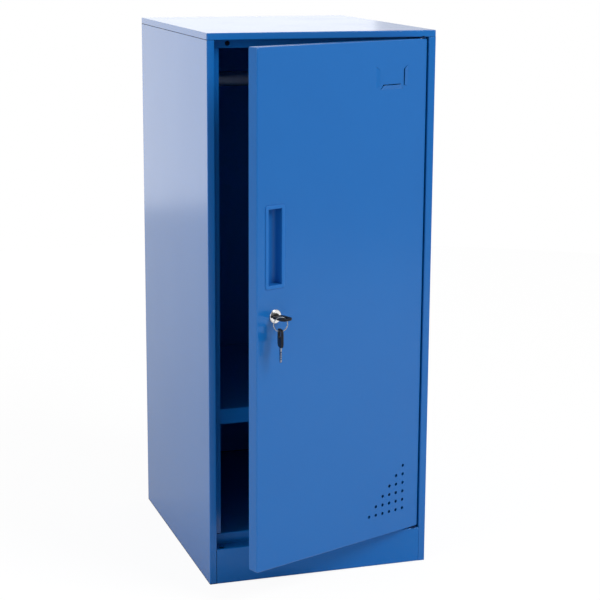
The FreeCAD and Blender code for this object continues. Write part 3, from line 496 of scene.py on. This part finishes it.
def bolt_set(name, node, turn, head_end):
    """Recessed bolts at the places of a node's solids, their heads at the given end."""
    spots = spots_of(node, BOLT_REACH)
    low, high = spots[0]
    width, _, length = sorted(high - low)
    bolt = recessed_bolt(width / 2, length)
    shape = bmesh.new()
    for k, (low, high) in enumerate(spots):
        place = (low + high) / 2 + head_end * length / 2
        spin = Matrix.Rotation(BOLT_SPIN * k, 4, "Z")
        first = len(shape.verts)
        shape.from_mesh(bolt)
        shape.verts.ensure_lookup_table()
        pose = Matrix.Translation(place) @ turn @ spin
        bmesh.ops.transform(shape, matrix=pose, verts=shape.verts[first:])
    bpy.data.meshes.remove(bolt)
    piece = new_piece(name, shape, FINISHES["zinc_plate"])
    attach(piece, "carcass")
    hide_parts(node)


def detail_pieces():
    split_ring()
    bolt_set("back_panel_bolts", "back_bolts", Matrix.Rotation(-math.pi / 2, 4, "X"), Vector((0, 1, 0)))
    bolt_set("cap_panel_bolts", "cap_bolts", Matrix.Rotation(math.pi, 4, "X"), Vector((0, 0, -1)))


# Camera

LENS = 102.0
SENSOR = 36
CAMERA_PLACE = Vector((-0.8697, -2.5491, 1.0666))
CAMERA_YAW = math.radians(18.09)
CAMERA_PITCH = math.radians(12.52)
CAMERA_ROLL = math.radians(0.33)


def add_camera():
    data = bpy.data.cameras.new("camera")
    data.lens = LENS
    data.sensor_width = SENSOR
    camera = bpy.data.objects.new("camera", data)
    level = Vector((math.cos(CAMERA_YAW), -math.sin(CAMERA_YAW), 0))
    forward = Vector((math.sin(CAMERA_YAW), math.cos(CAMERA_YAW), 0))
    ahead = math.cos(CAMERA_PITCH) * forward - math.sin(CAMERA_PITCH) * Vector((0, 0, 1))
    upright = level.cross(ahead)
    right = math.cos(CAMERA_ROLL) * level + math.sin(CAMERA_ROLL) * upright
    up = math.cos(CAMERA_ROLL) * upright - math.sin(CAMERA_ROLL) * level
    turn = Matrix((right, up, -ahead)).transposed()
    camera.matrix_world = Matrix.Translation(CAMERA_PLACE) @ turn.to_4x4()
    bpy.context.scene.collection.objects.link(camera)
    bpy.context.scene.camera = camera


# Floor

FLOOR_RADIUS = 3.0
FLOOR_SIDES = 96
FLOOR_GREY = 0.9
FLOOR_GLOW = 1.03
FLOOR_WHITE = 0.90
FLOOR_NEAR = 0.32
FLOOR_FAR = 0.55


def floor_finish():
    """Pale floor that the camera sees as white, with a soft shadow, and dark under the carcass.

    Glossy surfaces see it whiter the further back it lies.
    """
    material = bpy.data.materials.new("pale_floor")
    material.use_nodes = True
    tree = material.node_tree
    start = Wire(tree)
    tree.nodes.remove(tree.nodes["Principled BSDF"])
    seen = start.node("LightPath", output="Is Camera Ray")
    mirrored = start.node("LightPath", output="Is Glossy Ray")
    spot = start.node("TexCoord", output="Object")
    (left, front, _), (right, back, _) = cad_footprint()
    across = start.node("SeparateXYZ", {}, {0: spot}, "X")
    deep = start.node("SeparateXYZ", {}, {0: spot}, "Y")
    covered = start.between(across, left, right) * start.between(deep, front, back)
    near = start.node("MapRange", {}, {"Value": deep, "From Min": front, "From Max": back})
    far = start.node("MapRange", {}, {"Value": deep, "From Min": back, "From Max": FLOOR_RADIUS})
    behind = FLOOR_NEAR * near + FLOOR_FAR * far
    matt = start.node("BsdfDiffuse", {}, {"Color": grey(FLOOR_GREY)})
    white = start.node("Emission", {}, {"Color": grey(1), "Strength": FLOOR_GLOW})
    share = (FLOOR_WHITE * seen + mirrored * behind) * (1 - covered)
    surface = start.node("MixShader", {}, {"Fac": share, 1: matt, 2: white})
    start.plug(tree.nodes["Material Output"].inputs["Surface"], surface)
    return material


def add_floor():
    mesh = bpy.data.meshes.new("studio_floor")
    shape = bmesh.new()
    bmesh.ops.create_circle(shape, cap_ends=True, radius=FLOOR_RADIUS, segments=FLOOR_SIDES)
    shape.to_mesh(mesh)
    shape.free()
    mesh.materials.append(floor_finish())
    floor = bpy.data.objects.new("studio_floor", mesh)
    bpy.context.scene.collection.objects.link(floor)


# Studio light

AMBIENT = 0.50
MIRRORED_STOPS = ((0.0, grey(0.3)), (0.25, grey(0.6)), (0.72, grey(0.5)), (0.95, grey(1.0)))
LAMP_TARGET = Vector((0, 0.1, 0.45))
LAMPS = (
    ("key_softbox", Vector((1.7, -2.07, 2.76)), (1.4, 1.4), 0.56),
    ("fill_softbox", Vector((-2.5, -0.9, 1.4)), (1.4, 1.4), 0.28),
    ("backdrop_softbox", Vector((-0.17, 3.0, 0.9)), (2.8, 1.6), 0.11),
)


def add_lamp(name, place, size, level):
    """A softbox. Its level is the light that it adds to a white surface that faces it."""
    reach = LAMP_TARGET - place
    data = bpy.data.lights.new(name, "AREA")
    data.shape = "RECTANGLE"
    data.size, data.size_y = size
    data.energy = level * (math.pi * reach.length) ** 2
    lamp = bpy.data.objects.new(name, data)
    lamp.location = place
    lamp.rotation_euler = reach.to_track_quat("-Z", "Y").to_euler()
    lamp.visible_camera = False
    bpy.context.scene.collection.objects.link(lamp)


def light_world():
    """White behind the object for the camera and in reflections, dimmer to the sides and front."""
    world = bpy.data.worlds.new("studio")
    world.use_nodes = True
    bpy.context.scene.world = world
    tree = world.node_tree
    start = Wire(tree)
    back = tree.nodes["Background"]
    seen = start.node("LightPath", output="Is Camera Ray")
    mirrored = start.node("LightPath", output="Is Glossy Ray")
    through = start.node("LightPath", output="Is Transmission Ray")
    depth = start.node("SeparateXYZ", {}, {0: start.node("TexCoord", output="Generated")}, "Y")
    behind = start.node("ValToRGB", {"stops": MIRRORED_STOPS}, {"Fac": 0.5 + 0.5 * depth})
    shown = seen + (1 - seen) * (mirrored + through) * behind
    rest = (1 - seen) * (1 - mirrored) * (1 - through) * AMBIENT
    start.plug(back.inputs["Color"], grey(1))
    start.plug(back.inputs["Strength"], shown + rest)


def light_studio():
    light_world()
    for lamp in LAMPS:
        add_lamp(*lamp)


dress_nodes()
detail_pieces()
add_camera()
add_floor()
light_studio()
bpy.context.scene.view_settings.view_transform = "Standard"
